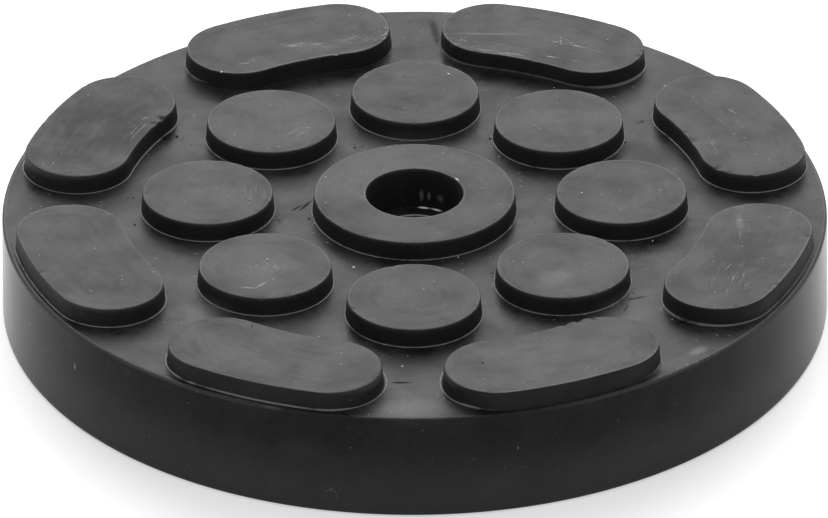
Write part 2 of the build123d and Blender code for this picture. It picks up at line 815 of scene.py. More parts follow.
        grid = scattered(sizes.cup_edge_radius, self.grid)
        clear = self.grid / 2
        on_top = grid[within_tops(grid, clear)]
        on_ground = grid[within_ground(grid, clear) & (away_from(grid) < sizes.cup_edge_radius - clear)]
        below = scattered(sizes.cup_edge_radius, self.underside_grid)
        below = below[away_from(below) > sizes.screw_radius + self.underside_grid]
        tops, roots = [top for top, _ in forms], [root for _, root in forms]
        skin.fill([hole[-1], *tops], on_top, sizes.top_level, within_tops)
        skin.fill([side[0], *roots], on_ground, self.surface_level, within_ground)
        skin.fill([side[-1], hole[0]], below, floor_level, within_underside, upwards=False)
        return new_piece(name, self.worn(np.vstack(skin.points)), skin.faces)


# ---- Grit and crumbs --------------------------------------------------------------------------------


@dataclass
class Crumbs:
    """Small lumps that lie on the moulding, as one piece.

    Attributes:
        moulding: That they lie on.
        seed: Of their sizes and shapes, and of the places of the strewn ones.
        radius: The least and greatest radius of a strewn one.
        strewn: How many are strewn along the roots of the tread.
        placed: The distance, direction and radius of each plain one, in millimetres and degrees.
        company: How many strewn ones lie close to each plain one.
        company_spread: How far from it they lie.
        strips: The strips beside a form that strewn ones lie in, outwards from its edge, in millimetres.
        stretch: The least and greatest size of a lump along each axis, as a share of its radius.
        flatness: Share of its height that it keeps.
        bumpiness: How far its bumps rise, as a share of its radius.
        bump_turn: How fast they come and go over the lump, at most.
        raised: How far its middle lies above the pad, as a share of its radius.
    """

    moulding: Moulding
    seed: int
    radius: Pair
    strewn: int
    placed: tuple[tuple[float, float, float], ...]
    company: int = 0
    company_spread: float = 0.6 * MM
    strips: tuple[Pair, ...] = ((0.4, 1.2), (0.4, 4.0), (-6.0, -0.4))
    stretch: Pair = (0.6, 1.3)
    flatness: float = 0.7
    bumpiness: float = 0.3
    bump_turn: float = 4.0
    raised: float = 0.25

    def places(self, chance: np.random.Generator) -> list[tuple[np.ndarray, float]]:
        """Where the lumps lie.

        Args:
            chance: Draws the strewn ones.

        Returns:
            The place seen from above and the radius of each.
        """
        sizes = self.moulding.sizes
        plain = [(np.array(polar(*place)), radius * MM) for *place, radius in self.placed]
        spots = list(plain)
        for place, _ in plain * self.company:
            aside = chance.normal(0.0, self.company_spread, 2)
            spots.append((place + aside, chance.uniform(*self.radius)))
        outlines = self.moulding.outlines()
        for number in chance.integers(0, len(outlines), self.strewn):
            away = chance.choice([chance.uniform(*strip) for strip in self.strips])
            edge = outlines[number].loop(away * MM)
            spot = edge[chance.integers(0, len(edge))]
            if sizes.recess_radius + MM < math.hypot(*spot) < sizes.cup_edge_radius:
                spots.append((spot, chance.uniform(*self.radius)))
        return spots

    def lump(self, shell: np.ndarray, chance: np.random.Generator) -> np.ndarray:
        """An uneven lump about the origin, of radius 1.

        Args:
            shell: Points of a ball of that radius.
            chance: Draws its form.

        Returns:
            The points, moved.
        """
        stretch = chance.uniform(*self.stretch, 3) * (1.0, 1.0, self.flatness)
        turns = chance.uniform(-self.bump_turn, self.bump_turn, (3, 2))
        waves = np.sin(shell @ turns + chance.uniform(0, FULL_TURN, 2))
        bumps = 1 + self.bumpiness * waves.mean(1)
        return shell * bumps[:, None] * stretch

    def build(self, name: str) -> bpy.types.Object:
        """Builds the lumps.

        Args:
            name: Of the object.

        Returns:
            The piece, without its finish.
        """
        chance = np.random.default_rng(self.seed)
        ball = bmesh.new()
        bmesh.ops.create_icosphere(ball, subdivisions=2, radius=1.0)
        shell = np.array([vertex.co[:] for vertex in ball.verts])
        sides = np.array([[vertex.index for vertex in face.verts] for face in ball.faces])
        ball.free()
        points, faces = [], []
        for number, (spot, radius) in enumerate(self.places(chance)):
            lump = self.lump(shell, chance) * radius
            level = self.moulding.surface_level(spot[None, :])[0]
            lump += (*spot, level + self.raised * radius)
            lump[:, 2] = np.minimum(lump[:, 2], self.moulding.sizes.height)
            points.append(lump)
            faces.append(sides + number * len(shell))
        return new_piece(name, np.vstack(points), np.vstack(faces).tolist())


# ---- Finish -----------------------------------------------------------------------------------------


Socket = bpy.types.NodeSocket
Value = float | tuple[float, ...] | Socket

# Soft steps, each from nothing at its first number to the whole at its second. The first two are of how far
# a face looks up, the third is of noise, and the others are of places in millimetres.
LEVEL_FACES: Pair = (0.80, 0.97)
STEEP_FACES: Pair = (0.7, 0.3)
BROKEN_ROOT_HIGHLIGHT: Pair = (-0.40, 0.0)
TREAD_TOPS: Pair = (17.0, 17.4)
UP_TO_GROUND: Pair = (15.95, 15.75)
LIP_HEIGHT: Pair = (10.6, 10.9)
FOOT_HEIGHT: Pair = (13.0, 1.0)
SIDE_RADIUS: Pair = (59.5, 60.0)
RIM_RADIUS: Pair = (59.4, 59.6)
RIM_HEIGHT: Pair = (15.1, 15.3)
RIM_ASIDE: Pair = (12.0, 32.0)

# Creases lie above this height, in millimetres.
LOWEST_CREASE = 14.0

# What a grey is multiplied by, to give it the faint blue of carbon black.
CARBON_TINT = (0.99, 1.0, 1.02)

# Soft lines along an edge, in millimetres: how far past the edge the middle of the line lies, and how far
# from its middle the line has gone and is whole.
Line = tuple[float, float, float]
ROOT_LINE: Line = (0.05, 0.08, 0.02)
EDGE_LINE: Line = (-0.12, 0.22, 0.05)
MOUTH_LINE: Line = (0.14, 0.22, 0.05)
LIP_LINE: Line = (0.10, 0.14, 0.05)


class Nodes:
    """Lays out nodes in one tree.

    Attributes:
        tree: The tree.
    """

    def __init__(self, tree: bpy.types.NodeTree) -> None:
        """Takes the tree as it is."""
        self.tree = tree

    def feed(self, socket: Socket, value: Value) -> None:
        """Links an output to a socket, or sets the socket.

        Args:
            socket: An input of a node.
            value: The output, or a plain value.
        """
        if isinstance(value, Socket):
            self.tree.links.new(value, socket)
        else:
            socket.default_value = value

    def node(self, kind: str, inputs: dict | None = None, **settings: object) -> bpy.types.Node:
        """Adds a node.

        Args:
            kind: Of the node.
            inputs: What goes into its inputs, by their names or numbers.
            **settings: Its options.

        Returns:
            The node.
        """
        made = self.tree.nodes.new(kind)
        for name, value in settings.items():
            setattr(made, name, value)
        for name, value in (inputs or {}).items():
            self.feed(made.inputs[name], value)
        return made

    def sum(self, operation: str, *values: Value) -> Socket:
        """One step of arithmetic on numbers."""
        return self.node("ShaderNodeMath", dict(enumerate(values)), operation=operation).outputs[0]

    def total(self, *values: Value) -> Socket:
        """The sum of all values."""
        return reduce(lambda made, value: self.sum("ADD", made, value), values)

    def product(self, *values: Value) -> Socket:
        """The product of all values."""
        return reduce(lambda made, value: self.sum("MULTIPLY", made, value), values)


class NodeSheet(Nodes):
    """Lays out the nodes of one material of the pad.

    Attributes:
        material: The material.
        shader: Its surface.
        where: Object coordinates in millimetres.
    """

    def __init__(self, name: str) -> None:
        """Starts a material.

        Args:
            name: Of the material.
        """
        self.material = bpy.data.materials.new(name)
        self.material.use_nodes = True
        super().__init__(self.material.node_tree)
        self.shader = self.tree.nodes["Principled BSDF"]
        place = self.node("ShaderNodeTexCoord").outputs["Object"]
        self.where = self.vector("MULTIPLY", place, (1 / MM,) * 3)

    @cached_property
    def parts(self) -> tuple[Socket, ...]:
        """The three object coordinates in millimetres."""
        return self.split(self.where)

    @cached_property
    def radius(self) -> Socket:
        """Distance from the axis in millimetres."""
        x, y, _ = self.parts
        return self.vector("LENGTH", self.joined(x, y, 0.0))

    def vector(self, operation: str, *values: Value) -> Socket:
        """One step of arithmetic on vectors."""
        made = self.node("ShaderNodeVectorMath", dict(enumerate(values)), operation=operation)
        return made.outputs["Value" if operation == "LENGTH" else "Vector"]

    def split(self, value: Value) -> tuple[Socket, ...]:
        """The three parts of a vector."""
        return tuple(self.node("ShaderNodeSeparateXYZ", {0: value}).outputs)

    def joined(self, x: Value, y: Value, z: Value) -> Socket:
        """A vector from its three parts."""
        return self.node("ShaderNodeCombineXYZ", {0: x, 1: y, 2: z}).outputs[0]

    def ramp(self, value: Value, band: Pair) -> Socket:
        """A soft step from 0, at the band's first number, to 1, at its second."""
        inputs = {"Value": value, "From Min": band[0], "From Max": band[1]}
        return self.node("ShaderNodeMapRange", inputs, interpolation_type="SMOOTHSTEP").outputs[0]

    def line(self, value: Value, edge: float, line: Line) -> Socket:
        """A soft line along an edge.

        Args:
            value: Grows across the edge, in millimetres.
            edge: What it is there.
            line: How far the line lies past the edge, and from its middle to where it has gone and is whole.

        Returns:
            How much of the line is at each place.
        """
        past, gone, whole = line
        off = self.sum("ABSOLUTE", self.sum("SUBTRACT", value, edge + past))
        return self.ramp(off, (gone, whole))

    def noise(self, where: Value, scale: float, detail: float) -> Socket:
        """Soft noise about nothing, mostly within a fifth either way."""
        made = self.node("ShaderNodeTexNoise", {"Vector": where, "Scale": scale, "Detail": detail})
        return self.sum("SUBTRACT", made.outputs[0], 0.5)

    def mixed(self, share: Value, none: Value, full: Value) -> Socket:
        """None of a share, full at the whole of it, and between them in between."""
        return self.node("ShaderNodeMix", {0: share, 2: none, 3: full}).outputs[0]

    def weighted(self, values: tuple[Value, ...], weights: tuple[float, ...]) -> Socket:
        """The sum of the values, each times its weight."""
        return self.total(*(self.product(value, weight) for value, weight in zip(values, weights)))

    def grey(self, value: Value) -> Socket:
        """A neutral colour, with the faint blue of carbon black."""
        return self.vector("MULTIPLY", self.joined(value, value, value), CARBON_TINT)


class Level(Enum):
    """The surface that a mark lies on, by its height in millimetres."""

    TOP = 17.9
    GROUND = 15.2
    SIDE = 10.0
    FOOT = 3.2
    BORE = 13.2
    LEDGE = 11.1


class Rub(Enum):
    """What a mark looks like inside."""

    ALONG = "streaks that follow the outline of the form that it is on"
    SCRATCHED = "thin scratches along its own length"
    DOTS = "fine round specks"
    HAZE = "even"


@dataclass(frozen=True)
class Mark:
    """A pale or dark patch. Most are wear, dust and stains; some are painted highlights, glints, reflections
    and shade.

    Attributes:
        distance: Of its middle from the axis, in millimetres.
        direction: Of its middle from the axis, in degrees.
        half_length: In millimetres.
        half_width: In millimetres.
        heading: Of its length, in degrees.
        tone: What it adds to the rubber's tone.
        rub: What it looks like inside.
        level: The surface that it lies on.
        dulls: What it adds to the rubber's roughness.
        half_height: Up and down, in millimetres.
        fade: From its edge to where it is whole, as shares of its half sizes.
        scratch_stretch: How often scratches change along its length and its width.
        scratches: The soft step that makes scratches of noise.
    """

    distance: float
    direction: float
    half_length: float
    half_width: float
    heading: float
    tone: float
    rub: Rub = Rub.ALONG
    level: Level = Level.TOP
    dulls: float = 0.0
    half_height: float = 1.8
    fade: Pair = (1.0, 0.2)
    scratch_stretch: Pair = (0.25, 2.6)
    scratches: Pair = (0.06, 0.22)

    @classmethod
    def over_boss(cls, number: int, tone: float, dulls: float) -> "Mark":
        """Haze over the whole top of one boss, counted from +X towards +Y."""
        circle, direction = PadSizes.boss_circle_radius / MM, 360.0 / PadSizes.boss_count * number
        return cls(circle, direction, 10.0, 10.0, 0.0, tone, Rub.HAZE, dulls=dulls)

    @classmethod
    def over_lug(cls, number: int, length: float, width: float, tone: float, dulls: float) -> "Mark":
        """Haze over the whole top of one lug, counted as the bosses are, by half its length and width."""
        circle, direction = PadSizes.lug_circle_radius / MM, 360.0 / PadSizes.lug_count * (number + 0.5)
        return cls(circle, direction, length, width, direction - 90.0, tone, Rub.HAZE, dulls=dulls)

    def cover(self, sheet: NodeSheet, streaks: dict[Rub, Value]) -> Socket:
        """Adds the mark's nodes.

        Args:
            sheet: Takes the nodes.
            streaks: How much each kind of rub covers at each place.

        Returns:
            How much of the mark is at each place.
        """
        inputs = {
            "Vector": sheet.where,
            "Location": (*polar(self.distance / MM, self.direction), self.level.value),
            "Rotation": (0.0, 0.0, math.radians(self.heading)),
            "Scale": (self.half_length, self.half_width, self.half_height),
        }
        placed = sheet.node("ShaderNodeMapping", inputs, vector_type="TEXTURE").outputs[0]
        cover = sheet.ramp(sheet.vector("LENGTH", placed), self.fade)
        if self.rub is Rub.SCRATCHED:
            along, across = self.scratch_stretch
            stretch = (along * self.half_length, across * self.half_width, 0.0)
            drawn = sheet.noise(sheet.vector("MULTIPLY", placed, stretch), scale=1.0, detail=1.0)
            return sheet.product(cover, sheet.ramp(drawn, self.scratches))
        if self.rub is not Rub.HAZE:
            return sheet.product(cover, streaks[self.rub])
        return cover


@dataclass(frozen=True)
class BlackRubber:
    """Moulded black rubber, dusty and a little scuffed, with painted highlights, reflections and shade in
    its colour.

    Attributes:
        sizes: Sizes of the pad.
        tone: Of the clean rubber.
        side_tone: Of the rubber of the side wall.
        least_tone: The darkest that any place gets.
        foot_reflection: Painted reflection of the floor: what it adds to the tone, more towards the foot of
            the side wall.
        root_highlight: Painted highlight: what it adds to the tone in the crease round each form of the
            tread.
        lip_highlight: Painted highlight: what it adds along the lip of the small hole.
        edge_wear_and_highlight: What rubbing and a painted highlight add along the tread's upper edges and
            the mouth of the hole.
        rim_highlight: What a painted highlight adds along the rim, to the left and right.
        tone_mottle: How strongly clouds, patches, grain, lines and specks change the tone.
        wall_mottle: Share of that on steep faces.
        tread_roughness: Of the tops and the ground.
        least_roughness: The glossiest that they get.
        wall_roughness: Of the tread's walls and the hole.
        side_roughness: Of the side wall.
        gloss_mottle: How strongly clouds, patches and lines change the roughness of the tread.
        side_mottle: Share of that on the side wall.
        ring_border: From the axis to where the ring's surroundings end, in millimetres.
        lug_border: From the axis to where the lugs' surroundings begin, in millimetres.
        usual_reach: From the middle of a form to its outline, in millimetres, for streaks that follow it.
        speck_core: Share of a speck's radius within which it is whole.
        grain_height: Of the finest unevenness.
        ior: Of rubber.
        specular_level: Of its shine.
        marks: The plain patches: wear, dust and stains, and some painted highlights, glints, reflections and
            shade.
    """

    sizes: PadSizes
    tone: float = 0.020
    side_tone: float = 0.012
    least_tone: float = 0.004
    foot_reflection: float = 0.036
    root_highlight: float = 0.23
    lip_highlight: float = 0.46
    edge_wear_and_highlight: float = 0.045
    rim_highlight: float = 0.032
    tone_mottle: tuple[float, ...] = (0.045, 0.025, 0.050, 0.035, 0.25)
    wall_mottle: float = 0.35
    tread_roughness: float = 0.40
    least_roughness: float = 0.27
    wall_roughness: float = 0.60
    side_roughness: float = 0.20
    gloss_mottle: tuple[float, ...] = (0.55, 0.22, 0.30)
    side_mottle: float = 0.12
    ring_border: float = 17.6
    lug_border: float = 41.2
    usual_reach: float = 6.0
    speck_core: float = 0.4
    grain_height: float = 0.006 * MM
    ior: float = 1.5
    specular_level: float = 0.08
    marks: tuple[Mark, ...] = (
        Mark(47.4, 109.0, 8.0, 2.6, 14.0, 0.20, Rub.SCRATCHED),
        Mark(47.0, 101.0, 4.0, 2.0, 8.0, 0.14),
        Mark(46.4, 122.0, 3.4, 0.8, 33.0, 0.16),
        Mark(47.4, 110.0, 7.5, 1.8, 14.0, 0.10),
        Mark(48.0, 96.0, 2.2, 4.2, 0.0, 0.26, Rub.DOTS),
        Mark(50.0, 60.5, 4.6, 1.6, 157.0, 0.34, Rub.SCRATCHED),
        Mark(50.2, 64.5, 3.2, 1.8, 160.0, 0.40, Rub.DOTS),
        Mark(45.4, 62.8, 5.0, 1.3, 166.0, 0.30, Rub.SCRATCHED),
        Mark(43.9, 73.0, 5.4, 0.55, 163.0, 0.34),
        Mark(45.6, 76.0, 5.4, 1.5, 165.0, 0.07),
        Mark(46.8, 82.5, 2.4, 3.0, 0.0, 0.26, Rub.DOTS),
        Mark(49.0, 77.0, 7.5, 0.35, 178.0, 0.07, Rub.HAZE),
        Mark(44.9, 157.0, 4.2, 1.0, 62.0, 0.26),
        Mark(46.0, 152.0, 1.8, 0.8, 20.0, 0.20),
        Mark(52.4, 26.0, 2.6, 1.8, 130.0, 0.20, Rub.SCRATCHED),
        Mark(45.8, 16.0, 3.4, 1.6, 100.0, 0.10),
        Mark(49.5, 24.0, 4.0, 3.4, 120.0, 0.07, Rub.SCRATCHED),
        Mark(47.9, 348.5, 3.2, 0.7, 92.0, 0.05, Rub.HAZE),
        Mark(47.9, 348.5, 3.4, 1.2, 92.0, 0.14, Rub.DOTS),
        Mark(52.2, 330.0, 6.0, 4.0, 80.0, 0.15, Rub.SCRATCHED),
        Mark(50.0, 333.0, 5.5, 3.4, 62.0, 0.12, Rub.SCRATCHED),
        Mark(48.6, 344.0, 4.5, 3.0, 88.0, 0.09, Rub.SCRATCHED),
        Mark(48.5, 290.0, 2.4, 0.9, 15.0, -0.012, dulls=0.15),
        Mark(48.0, 3.5, 2.6, 0.5, 150.0, 0.08),
        Mark(36.4, 229.5, 1.6, 0.26, -7.0, 0.14, Rub.HAZE),
        Mark(34.5, 231.0, 1.7, 0.24, 51.0, 0.18, Rub.HAZE),
        Mark(24.6, 134.0, 4.2, 2.8, 40.0, 0.10),
        Mark(23.8, 181.0, 5.0, 4.0, 60.0, 0.06),
        Mark(30.6, 226.0, 6.0, 3.0, 10.0, 0.09),
        Mark(33.0, 272.0, 5.0, 3.0, 10.0, 0.04),
        # Painted highlight on the top of this boss.
        Mark(32.1, 309.0, 4.4, 3.0, 20.0, 0.030, Rub.HAZE, dulls=-0.02),
        Mark.over_boss(5, tone=0.010, dulls=-0.05),
        Mark.over_boss(4, tone=0.004, dulls=-0.05),
        Mark.over_boss(7, tone=0.0, dulls=-0.06),
        Mark.over_boss(3, tone=0.0, dulls=-0.10),
        Mark(8.5, 143.0, 13.0, 10.0, 53.0, 0.0, Rub.HAZE, dulls=-0.15),
        Mark(10.9, 86.0, 12.0, 5.0, 0.0, 0.0, Rub.HAZE, dulls=-0.045),
        Mark.over_lug(5, 15.0, 9.0, tone=0.0, dulls=-0.05),
        Mark.over_lug(6, 14.0, 9.0, tone=0.012, dulls=-0.04),
        Mark.over_lug(3, 16.0, 12.0, tone=-0.006, dulls=0.10),
        Mark.over_lug(7, 15.0, 11.0, tone=0.012, dulls=0.09),
        Mark.over_boss(1, tone=0.016, dulls=0.0),
        Mark.over_lug(4, 15.0, 11.0, tone=0.004, dulls=0.03),
        Mark(57.6, 314.0, 2.4, 1.3, 45.0, 0.09, Rub.HAZE, Level.GROUND),
        # Painted light and shade on the ground, in the next seven marks: lighter at the front rim, darker on
        # the ground behind it, and lighter where the ground lies in shade round the ring and between the
        # forms.
        Mark(57.0, 270.0, 8.0, 4.0, 0.0, 0.040, Rub.HAZE, Level.GROUND, dulls=-0.06),
        Mark(43.0, 270.0, 7.0, 5.0, 0.0, -0.010, Rub.HAZE, Level.GROUND, dulls=0.12),
        Mark(42.5, 90.0, 6.0, 3.4, 0.0, 0.030, Rub.HAZE, Level.GROUND),
        Mark(19.0, 90.0, 13.0, 4.0, 0.0, 0.030, Rub.HAZE, Level.GROUND),
        Mark(46.5, 43.0, 7.0, 6.0, 45.0, 0.016, Rub.HAZE, Level.GROUND),
        Mark(42.0, 316.0, 7.0, 6.0, 45.0, 0.044, Rub.HAZE, Level.GROUND),
        Mark(42.0, 225.0, 6.0, 5.0, 135.0, 0.040, Rub.HAZE, Level.GROUND),
        # Painted highlight on the rim at the front left.
        Mark(59.7, 250.6, 3.0, 0.3, 160.6, 0.16, Rub.HAZE, Level.GROUND, half_height=0.5),
        Mark(59.4, 310.0, 7.0, 0.9, 40.0, 0.20, Rub.DOTS, Level.GROUND),
        Mark(53.2, 86.8, 5.6, 0.9, 97.0, -0.009, Rub.HAZE, Level.GROUND, dulls=0.22),
        Mark(49.7, 268.0, 2.0, 0.4, 0.0, -0.016, Rub.HAZE, Level.GROUND, dulls=0.40),
        Mark(15.9, 176.0, 2.4, 0.35, 63.0, -0.014, Rub.HAZE, Level.GROUND, dulls=0.45),
        Mark(17.2, 179.0, 1.6, 0.30, 50.0, -0.014, Rub.HAZE, Level.GROUND, dulls=0.40),
        Mark(41.0, 320.0, 2.4, 0.35, 20.0, -0.014, Rub.HAZE, Level.GROUND, dulls=0.45),
        Mark(41.9, 316.0, 1.6, 0.30, 75.0, -0.014, Rub.HAZE, Level.GROUND, dulls=0.40),
        Mark(60.3, 259.5, 2.8, 1.0, 169.5, 0.13, Rub.DOTS, Level.FOOT),
        Mark(60.3, 217.0, 0.35, 0.5, 127.0, 0.22, Rub.HAZE, Level.SIDE, half_height=0.9),
        Mark(60.3, 284.0, 0.22, 0.4, 14.0, 0.22, Rub.HAZE, Level.SIDE, half_height=0.3),
        Mark(60.3, 204.0, 0.30, 0.4, 114.0, 0.20, Rub.HAZE, Level.SIDE, half_height=0.6),
        Mark(60.3, 255.0, 6.0, 1.2, 165.0, 0.006, Rub.HAZE, Level.SIDE, half_height=3.0),
        # Painted glints: one at the back of the hole's mouth, two on the corner of the ledge inside the
        # hole.
        Mark(7.40, 33.0, 0.7, 0.2, 123.0, 0.70, Rub.HAZE, half_height=0.8),
        Mark(7.05, 79.0, 1.3, 0.22, -11.0, 1.2, Rub.HAZE, Level.LEDGE, half_height=0.3),
        Mark(7.05, 63.0, 1.3, 0.20, -27.0, 1.2, Rub.HAZE, Level.LEDGE, half_height=0.3),
        # Painted reflections: pale streaks on the back wall of the recess.
        Mark(7.1, 82.0, 0.45, 0.6, -8.0, 0.16, Rub.HAZE, Level.BORE, half_height=1.3),
        Mark(7.1, 73.0, 0.35, 0.6, -17.0, 0.20, Rub.HAZE, Level.BORE, half_height=0.9),
        Mark(7.1, 58.0, 0.75, 0.6, -32.0, 0.14, Rub.HAZE, Level.BORE, half_height=0.8),
    )

    def own_form(self, sheet: NodeSheet) -> tuple[Socket, Socket]:
        """The form of the tread that each place is on or nearest to.

        Args:
            sheet: Takes the nodes.

        Returns:
            Its middle there, which is the axis, a boss's centre or the nearest point of a lug's arc, level
            with the place; and how far its outline lies from that middle.
        """
        sizes = self.sizes
        x, y, z = sheet.parts
        angle = sheet.sum("ARCTAN2", y, x)
        boss_step, lug_step = FULL_TURN / sizes.boss_count, FULL_TURN / sizes.lug_count
        boss_angle = sheet.product(sheet.sum("ROUND", sheet.sum("DIVIDE", angle, boss_step)), boss_step)
        whole = sheet.sum("FLOOR", sheet.sum("DIVIDE", angle, lug_step))
        lug_angle = sheet.product(sheet.total(whole, 0.5), lug_step)
        aside = sheet.sum("SUBTRACT", angle, lug_angle)
        kept = sheet.sum("MAXIMUM", aside, -sizes.lug_half_angle)
        kept = sheet.sum("MINIMUM", kept, sizes.lug_half_angle)
        on_lug = sheet.sum("GREATER_THAN", sheet.radius, self.lug_border)
        on_ring = sheet.sum("LESS_THAN", sheet.radius, self.ring_border)
        turn = sheet.mixed(on_lug, boss_angle, sheet.total(lug_angle, kept))
        out = sheet.mixed(on_lug, sizes.boss_circle_radius / MM, sizes.lug_circle_radius / MM)
        out = sheet.mixed(on_ring, out, 0.0)
        middle_x = sheet.product(out, sheet.sum("COSINE", turn))
        middle_y = sheet.product(out, sheet.sum("SINE", turn))
        reach = sheet.mixed(on_lug, sizes.boss_radius / MM, sizes.lug_half_width / MM)
        reach = sheet.mixed(on_ring, reach, sizes.ring_radius / MM)
        return sheet.joined(middle_x, middle_y, z), reach

    def followed(self, sheet: NodeSheet, middle: Value, fine: float, along: float) -> Socket:
        """Noise drawn out along each form's outline.

        Args:
            sheet: Takes the nodes.
            middle: Of each place's own form.
            fine: Lines in a millimetre.
            along: Changes in a millimetre along a line, roughly.

        Returns:
            The noise, about nothing.
        """
        away = sheet.vector("SUBTRACT", sheet.where, middle)
        rings = sheet.joined(0.0, 0.0, sheet.product(sheet.vector("LENGTH", away), fine))
        round_it = self.usual_reach * along
        towards = sheet.vector("MULTIPLY", sheet.vector("NORMALIZE", away), (round_it, round_it, 0.0))
        seat = sheet.vector("MULTIPLY", middle, (along, along, 0.0))
        place = sheet.vector("ADD", sheet.vector("ADD", towards, seat), rings)
        return sheet.noise(place, scale=1.0, detail=3.0)

    def specks(self, sheet: NodeSheet, scale: float, size: float, bare: float) -> Socket:
        """Sparse dots.

        Args:
            sheet: Takes the nodes.
            scale: Cells in a millimetre, each with at most one dot.
            size: Of a dot, as a share of its cell.
            bare: Share of the cells that have no dot.

        Returns:
            How much of a dot is at each place.
        """
        cells = sheet.node("ShaderNodeTexVoronoi", {"Vector": sheet.where, "Scale": scale})
        chance, _, _ = sheet.split(cells.outputs["Color"])
        dot = sheet.ramp(cells.outputs["Distance"], (size, self.speck_core * size))
        return sheet.product(dot, sheet.ramp(chance, (bare, 1.0)))

    def marked(self, sheet: NodeSheet, middle: Value) -> tuple[Value, Value]:
        """Adds the marks.

        Args:
            sheet: Takes the nodes.
            middle: Of each place's own form.

        Returns:
            What they add to the tone, and to the roughness.
        """
        scraped = self.followed(sheet, middle, fine=3.2, along=0.30)
        dots = self.specks(sheet, scale=2.0, size=0.40, bare=0.10)
        streaks = {Rub.ALONG: sheet.ramp(scraped, (-0.06, 0.24)), Rub.DOTS: dots}
        paled: Value = 0.0
        dulled: Value = 0.0
        for mark in self.marks:
            cover = mark.cover(sheet, streaks)
            if mark.tone:
                paled = sheet.sum("MULTIPLY_ADD", cover, mark.tone, paled)
            if mark.dulls:
                dulled = sheet.sum("MULTIPLY_ADD", cover, mark.dulls, dulled)
        return paled, dulled

    def highlight_and_wear_lines(
        self, sheet: NodeSheet, past_edge: Value, upper: Value, on_side: Value, noise: Value
    ) -> Socket:
        """Adds painted highlights in the creases, along the rim and on the lip of the small hole, rubbing
        with a painted highlight along the upper edges and the mouth, and a painted reflection at the foot of
        the side wall.

        Args:
            sheet: Takes the nodes.
            past_edge: How far each place lies outside the outline of its own form, in millimetres.
            upper: Whether it is as high as the tops of the tread.
            on_side: Whether it is on the side wall.
            noise: Breaks up the painted highlight in the creases.

        Returns:
            What they add to the tone.
        """
        sizes = self.sizes
        x, _, z = sheet.parts
        root = sizes.tread_height * math.tan(sizes.tread_draft) / MM
        # Painted highlight: a pale line in the crease round each form of the tread.
        in_root = sheet.product(
            sheet.line(past_edge, root, ROOT_LINE),
            sheet.ramp(z, UP_TO_GROUND),
            sheet.sum("GREATER_THAN", z, LOWEST_CREASE),
            sheet.ramp(noise, BROKEN_ROOT_HIGHLIGHT),
        )
        # Painted highlight along the lip of the small hole.
        on_lip = sheet.product(
            sheet.line(sheet.radius, sizes.screw_radius / MM, LIP_LINE),
            sheet.ramp(z, LIP_HEIGHT),
        )
        # Rubbing with a painted highlight along the mouth of the hole and the tread's upper edges.
        on_mouth = sheet.product(sheet.line(sheet.radius, sizes.recess_radius / MM, MOUTH_LINE), upper)
        on_edge = sheet.product(sheet.line(past_edge, 0.0, EDGE_LINE), upper)
        # Painted highlight along the rim's round, to the left and right.
        on_rim = sheet.product(
            sheet.ramp(sheet.radius, RIM_RADIUS),
            sheet.ramp(z, RIM_HEIGHT),
            sheet.ramp(sheet.sum("ABSOLUTE", x), RIM_ASIDE),
        )
        # Painted reflection of the floor: the side wall gets lighter towards its foot.
        low = sheet.product(sheet.ramp(z, FOOT_HEIGHT), on_side)
        return sheet.weighted(
            (in_root, on_edge, on_mouth, on_rim, on_lip, low),
            (self.root_highlight, self.edge_wear_and_highlight, self.edge_wear_and_highlight, self.rim_highlight, self.lip_highlight, self.foot_reflection),
        )

    def material(self) -> bpy.types.Material:
        """Makes the material.

        Returns:
            The material, ready for use.
        """
        sheet = NodeSheet("black_rubber")
        _, _, z = sheet.parts
        _, _, up = sheet.split(sheet.node("ShaderNodeNewGeometry").outputs["Normal"])
        level = sheet.ramp(up, LEVEL_FACES)
        upper = sheet.ramp(z, TREAD_TOPS)
        on_side = sheet.product(sheet.ramp(sheet.radius, SIDE_RADIUS), sheet.ramp(up, STEEP_FACES))
        middle, reach = self.own_form(sheet)
        away = sheet.vector("LENGTH", sheet.vector("SUBTRACT", sheet.where, middle))
        past_edge = sheet.sum("SUBTRACT", away, reach)

        clouds = sheet.noise(sheet.where, scale=0.16, detail=2.0)
        patches = sheet.noise(sheet.where, scale=0.7, detail=3.0)
        grain = sheet.noise(sheet.where, scale=3.2, detail=2.0)
        lines = sheet.product(self.followed(sheet, middle, fine=1.1, along=0.13), upper)
        dots = self.specks(sheet, scale=0.7, size=0.12, bare=0.65)
        paled, dulled = self.marked(sheet, middle)

        mottle = sheet.weighted((clouds, patches, grain, lines, dots), self.tone_mottle)
        strength = sheet.sum("MULTIPLY_ADD", level, 1 - self.wall_mottle, self.wall_mottle)
        tone = sheet.total(
            sheet.mixed(on_side, self.tone, self.side_tone),
            sheet.product(mottle, strength),
            self.highlight_and_wear_lines(sheet, past_edge, upper, on_side, sheet.total(clouds, patches)),
            paled,
        )
        tone = sheet.sum("MAXIMUM", tone, self.least_tone)
        sheet.feed(sheet.shader.inputs["Base Color"], sheet.grey(tone))

        uneven = sheet.weighted((clouds, patches, lines), self.gloss_mottle)
        tread = sheet.total(self.tread_roughness, uneven, dulled)
        tread = sheet.sum("MAXIMUM", tread, self.least_roughness)
        side = sheet.sum("MULTIPLY_ADD", uneven, self.side_mottle, self.side_roughness)
        roughness = sheet.mixed(on_side, sheet.mixed(level, self.wall_roughness, tread), side)
        sheet.feed(sheet.shader.inputs["Roughness"], roughness)

        uneven = {"Height": sheet.total(grain, lines), "Distance": self.grain_height}
        sheet.feed(sheet.shader.inputs["Normal"], sheet.node("ShaderNodeBump", uneven).outputs[0])
        sheet.shader.inputs["IOR"].default_value = self.ior
        sheet.shader.inputs["Specular IOR Level"].default_value = self.specular_level
        return sheet.material


